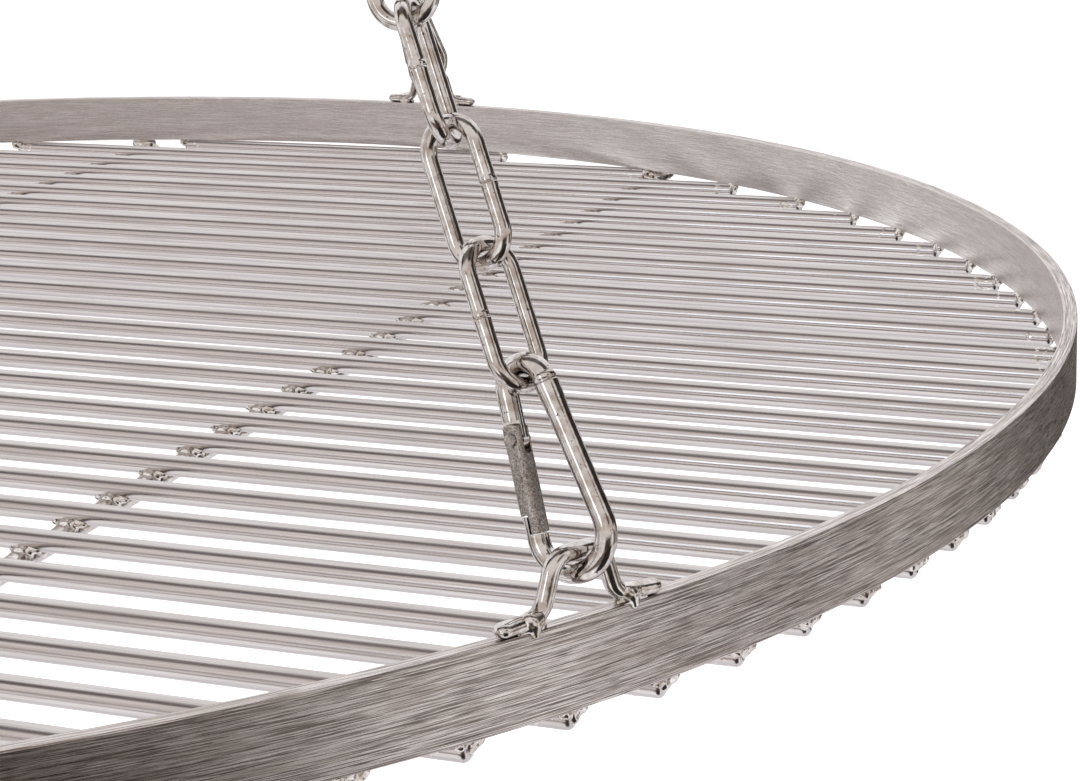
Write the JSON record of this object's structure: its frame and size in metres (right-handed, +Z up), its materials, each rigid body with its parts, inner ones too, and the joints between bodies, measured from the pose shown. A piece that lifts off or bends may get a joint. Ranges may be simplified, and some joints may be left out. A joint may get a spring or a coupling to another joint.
{
  "type": "hanging campfire grill grate",
  "caption": "Round welded steel grill grate with a flat-bar rim and parallel rods, hung by chains and snap hooks that meet in one top ring.",
  "frame": {"origin": "where the tripod's hook bears: the top of the ring's hole, in the middle of its wire", "axes": "+Z up, +X along the grill rods, +Y square to the rods, with the ring standing in the XZ plane"},
  "size_m": [0.6999, 0.7036, 0.7931],
  "materials": {
    "brushed_rim": "coarse brushed stainless flat bar, streaks along the hoop",
    "satin_rods": "satin drawn stainless rod",
    "polished_wire": "polished stainless wire",
    "gate_steel": "tumbled, slightly grainy stainless",
    "spring_wire": "drawn spring wire"
  },
  "bodies": {
    "top_ring": {"top_ring": "polished_wire"},
    "grate": {"rim": "brushed_rim", "rod_pair_01": "satin_rods", "rod_pair_02": "satin_rods", "rod_pair_03": "satin_rods", "rod_pair_04": "satin_rods", "rod_pair_05": "satin_rods", "rod_pair_06": "satin_rods", "rod_pair_07": "satin_rods", "rod_pair_08": "satin_rods", "rod_pair_09": "satin_rods", "rod_pair_10": "satin_rods", "rod_pair_11": "satin_rods", "rod_pair_12": "satin_rods", "rod_pair_13": "satin_rods", "rod_pair_14": "satin_rods", "rod_pair_15": "satin_rods", "rod_pair_16": "satin_rods", "rod_pair_17": "satin_rods", "rod_pair_18": "satin_rods", "cross_bar_right": "satin_rods", "cross_bar_left": "satin_rods", "eyelet_front": "polished_wire", "chain_front_upper_links": "polished_wire", "eyelet_back": "polished_wire", "chain_back_upper_links": "polished_wire", "eyelet_left": "polished_wire", "chain_left_upper_links": "polished_wire"},
    "hook_front": {"snap_hook_front": "polished_wire"},
    "gate_front": {"hook_gate_front": "gate_steel", "hook_rivet_front": "gate_steel", "hook_spring_front": "spring_wire"},
    "link_front_1": {"chain_front_link_1": "polished_wire"},
    "link_front_2": {"chain_front_link_2": "polished_wire"},
    "link_front_3": {"chain_front_link_3": "polished_wire"},
    "hook_back": {"snap_hook_back": "polished_wire"},
    "gate_back": {"hook_gate_back": "gate_steel", "hook_rivet_back": "gate_steel", "hook_spring_back": "spring_wire"},
    "link_back_1": {"chain_back_link_1": "polished_wire"},
    "link_back_2": {"chain_back_link_2": "polished_wire"},
    "link_back_3": {"chain_back_link_3": "polished_wire"},
    "hook_left": {"snap_hook_left": "polished_wire"},
    "gate_left": {"hook_gate_left": "gate_steel", "hook_rivet_left": "gate_steel", "hook_spring_left": "spring_wire"},
    "link_left_1": {"chain_left_link_1": "polished_wire"},
    "link_left_2": {"chain_left_link_2": "polished_wire"},
    "link_left_3": {"chain_left_link_3": "polished_wire"}
  },
  "joints": [
    {"name": "grate_swing", "type": "hinge", "parent": "top_ring", "child": "grate", "pos_m": [0, 0, -0.0425], "axis": [1, 0, 0], "range_deg": [-20, 20]},
    {"name": "hook_front_twist", "type": "hinge", "parent": "grate", "child": "hook_front", "pos_m": [0.30691, -0.16457, -0.7504], "axis": [-0.3788, 0.2091, 0.9015], "range_deg": [-6, 6]},
    {"name": "gate_front_open", "type": "hinge", "parent": "hook_front", "child": "gate_front", "pos_m": [0.2939, -0.15931, -0.73284], "axis": [-0.2035, -0.9691, 0.1392], "range_deg": [0, 24], "stiffness_Nm_per_rad": 0.006, "springref_deg": -57.3},
    {"name": "link_front_1_twist", "type": "hinge", "parent": "grate", "child": "link_front_1", "pos_m": [0.29043, -0.15547, -0.71118], "axis": [-0.3788, 0.2091, 0.9015], "range_deg": [-6, 6]},
    {"name": "link_front_2_twist", "type": "hinge", "parent": "grate", "child": "link_front_2", "pos_m": [0.2818, -0.1507, -0.69063], "axis": [-0.3788, 0.2091, 0.9015], "range_deg": [-6, 6]},
    {"name": "link_front_3_twist", "type": "hinge", "parent": "grate", "child": "link_front_3", "pos_m": [0.27316, -0.14594, -0.67007], "axis": [-0.3788, 0.2091, 0.9015], "range_deg": [-6, 6]},
    {"name": "hook_back_twist", "type": "hinge", "parent": "grate", "child": "hook_back", "pos_m": [0.0364, 0.34634, -0.7504], "axis": [-0.0447, -0.439, 0.8974], "range_deg": [-6, 6]},
    {"name": "gate_back_open", "type": "hinge", "parent": "hook_back", "child": "gate_back", "pos_m": [0.03334, 0.33246, -0.73298], "axis": [0.9166, -0.3752, -0.1379], "range_deg": [0, 24], "stiffness_Nm_per_rad": 0.006, "springref_deg": -57.3},
    {"name": "link_back_1_twist", "type": "hinge", "parent": "grate", "child": "link_back_1", "pos_m": [0.03446, 0.32724, -0.71136], "axis": [-0.0447, -0.439, 0.8974], "range_deg": [-6, 6]},
    {"name": "link_back_2_twist", "type": "hinge", "parent": "grate", "child": "link_back_2", "pos_m": [0.03344, 0.31724, -0.6909], "axis": [-0.0447, -0.439, 0.8974], "range_deg": [-6, 6]},
    {"name": "link_back_3_twist", "type": "hinge", "parent": "grate", "child": "link_back_3", "pos_m": [0.03242, 0.30723, -0.67044], "axis": [-0.0447, -0.439, 0.8974], "range_deg": [-6, 6]},
    {"name": "hook_left_twist", "type": "hinge", "parent": "grate", "child": "hook_left", "pos_m": [-0.30691, -0.16457, -0.7504], "axis": [0.3788, 0.2091, 0.9015], "range_deg": [-6, 6]},
    {"name": "gate_left_open", "type": "hinge", "parent": "hook_left", "child": "gate_left", "pos_m": [-0.29543, -0.15645, -0.73286], "axis": [-0.6953, 0.7072, 0.1282], "range_deg": [0, 24], "stiffness_Nm_per_rad": 0.006, "springref_deg": -57.3},
    {"name": "link_left_1_twist", "type": "hinge", "parent": "grate", "child": "link_left_1", "pos_m": [-0.29043, -0.15547, -0.71118], "axis": [0.3788, 0.2091, 0.9015], "range_deg": [-6, 6]},
    {"name": "link_left_2_twist", "type": "hinge", "parent": "grate", "child": "link_left_2", "pos_m": [-0.2818, -0.1507, -0.69063], "axis": [0.3788, 0.2091, 0.9015], "range_deg": [-6, 6]},
    {"name": "link_left_3_twist", "type": "hinge", "parent": "grate", "child": "link_left_3", "pos_m": [-0.27316, -0.14594, -0.67007], "axis": [0.3788, 0.2091, 0.9015], "range_deg": [-6, 6]}
  ]
}
